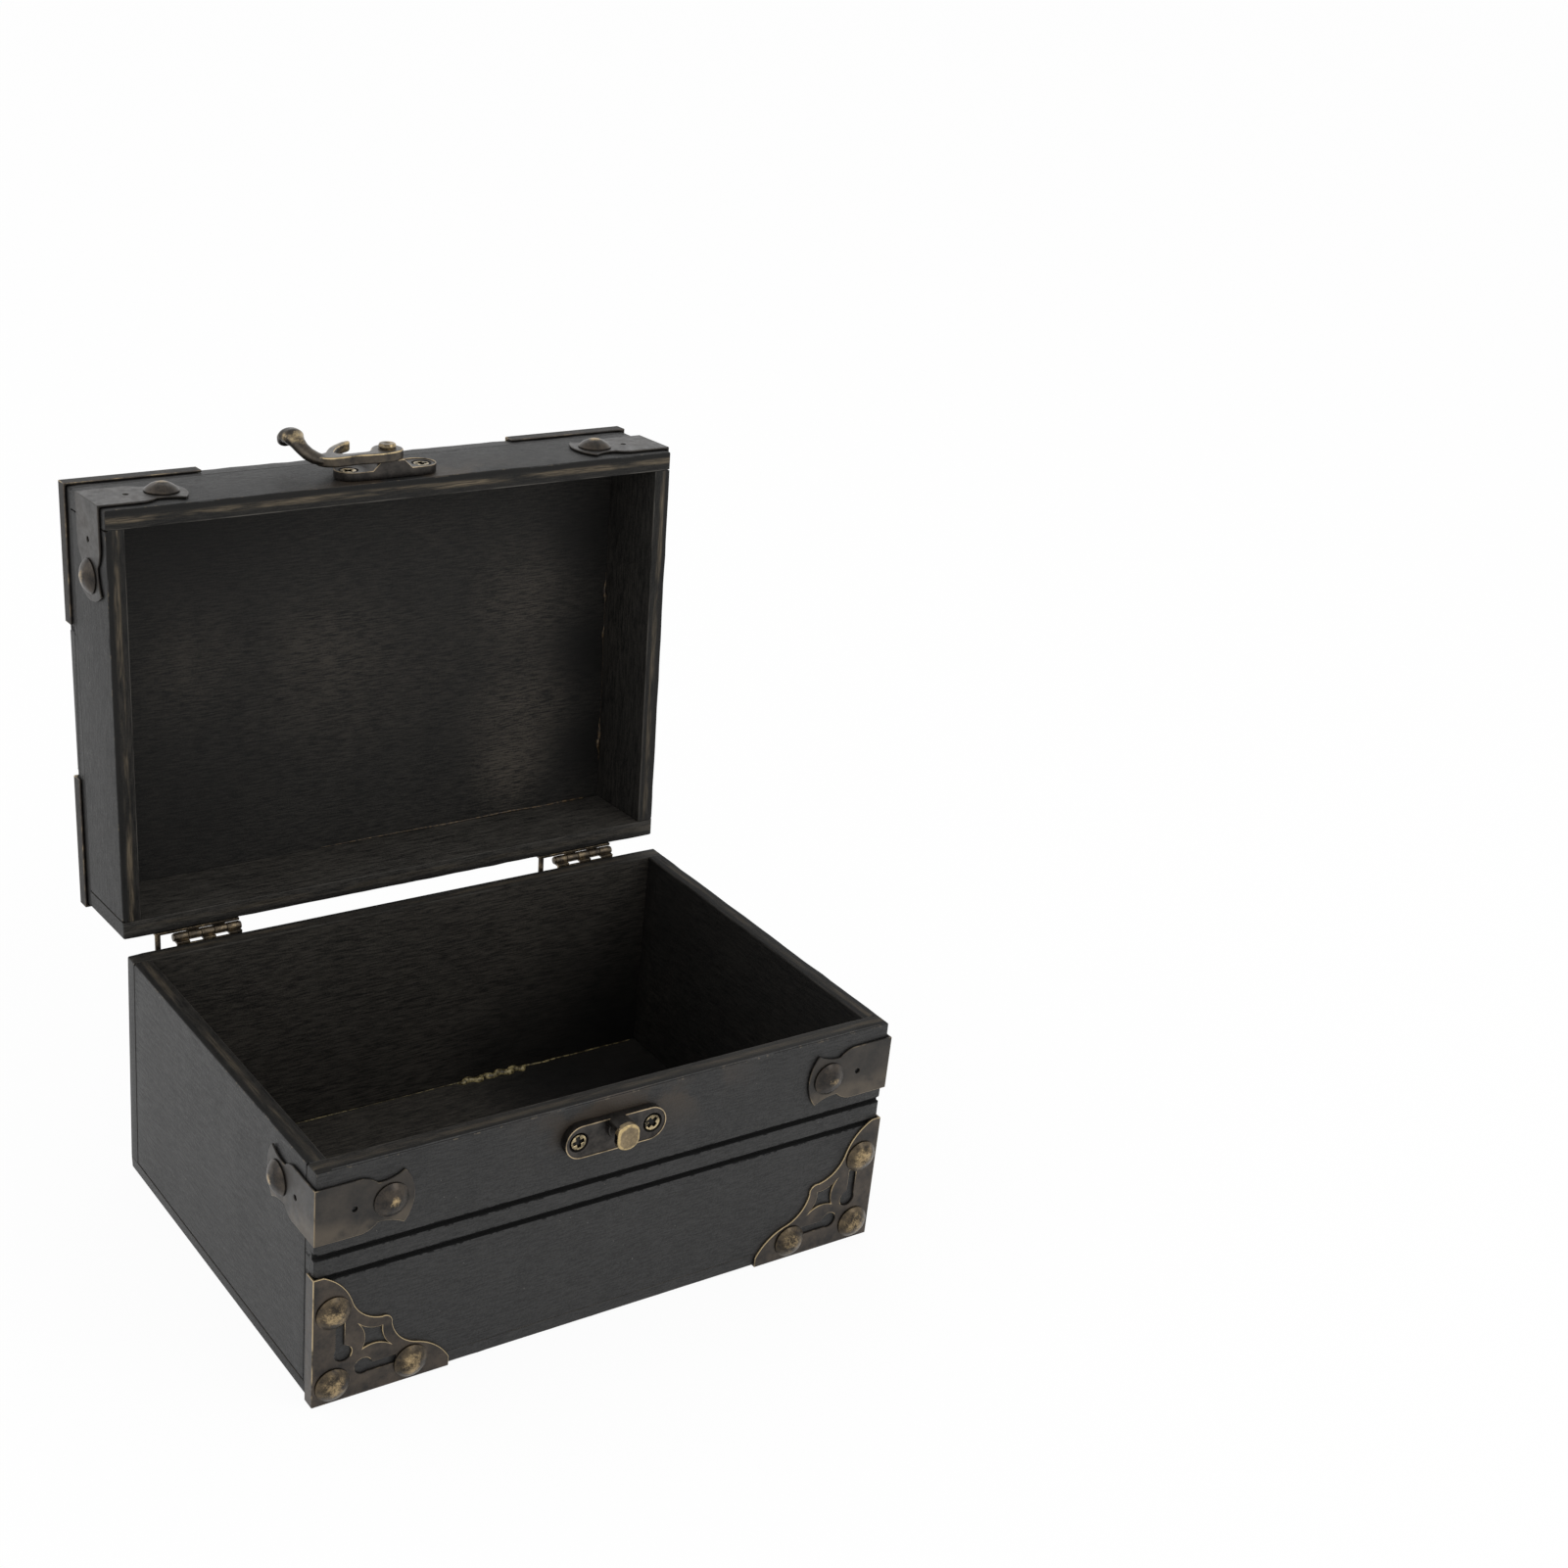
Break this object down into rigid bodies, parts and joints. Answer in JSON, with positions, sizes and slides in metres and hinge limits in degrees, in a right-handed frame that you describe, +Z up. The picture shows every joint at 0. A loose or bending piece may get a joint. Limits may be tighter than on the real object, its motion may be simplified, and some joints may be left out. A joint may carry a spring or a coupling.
{
  "type": "treasure chest box",
  "caption": "Small dark-stained wooden box with a hinged lid, pressed bronze corner plates, corner bands, domed nails and a swinging hook latch",
  "frame": {"origin": "centre of the base's underside, on the surface that the chest stands on", "axes": "X to the chest's right seen from the front, Y from the front to the back, Z up"},
  "size_m": [0.1668, 0.1583, 0.1886],
  "materials": {
    "stained_board": "charcoal stain, worn",
    "bronzed_sheet": "antique bronze, rubbed edges",
    "domed_nail": "antique bronze, speckled",
    "cast_latch": "antique bronze casting",
    "hinge_metal": "antique bronze, worn"
  },
  "bodies": {
    "base": {"base_bottom": "stained_board", "base_front": "stained_board", "base_back": "stained_board", "base_left": "stained_board", "base_right": "stained_board", "base_strap_left": "bronzed_sheet", "base_strap_right": "bronzed_sheet", "base_corner_plate_left": "bronzed_sheet", "base_corner_plate_right": "bronzed_sheet", "base_strap_nails": "domed_nail", "base_corner_nails": "domed_nail", "catch_plate": "cast_latch", "catch_knob": "cast_latch", "catch_screws": "cast_latch", "hinge_base_leaf_left": "hinge_metal", "hinge_base_leaf_right": "hinge_metal", "hinge_pin_left": "hinge_metal", "hinge_pin_right": "hinge_metal", "hinge_base_nails": "hinge_metal"},
    "lid": {"lid_top": "stained_board", "lid_front": "stained_board", "lid_back": "stained_board", "lid_left": "stained_board", "lid_right": "stained_board", "lid_strap_left": "bronzed_sheet", "lid_strap_right": "bronzed_sheet", "lid_corner_plate_front_left": "bronzed_sheet", "lid_corner_plate_front_right": "bronzed_sheet", "lid_corner_plate_back_left": "bronzed_sheet", "lid_corner_plate_back_right": "bronzed_sheet", "lid_strap_nails": "domed_nail", "lid_corner_nails": "domed_nail", "hasp_plate": "cast_latch", "hasp_screws": "cast_latch", "hasp_rivet": "cast_latch", "hinge_lid_leaf_left": "hinge_metal", "hinge_lid_leaf_right": "hinge_metal", "hinge_lid_nails": "hinge_metal"},
    "hook": {"hasp_hook": "cast_latch"}
  },
  "joints": [
    {"name": "lid_hinge", "type": "hinge", "parent": "base", "child": "lid", "pos_m": [0, 0.0582, 0.0649], "axis": [1, 0, 0], "range_deg": [0, 93]},
    {"name": "hook_pivot", "type": "hinge", "parent": "lid", "child": "hook", "pos_m": [-0.0027, 0.06907, 0.17869], "axis": [0, -0.0523, -0.9986], "range_deg": [-48, 237]}
  ]
}
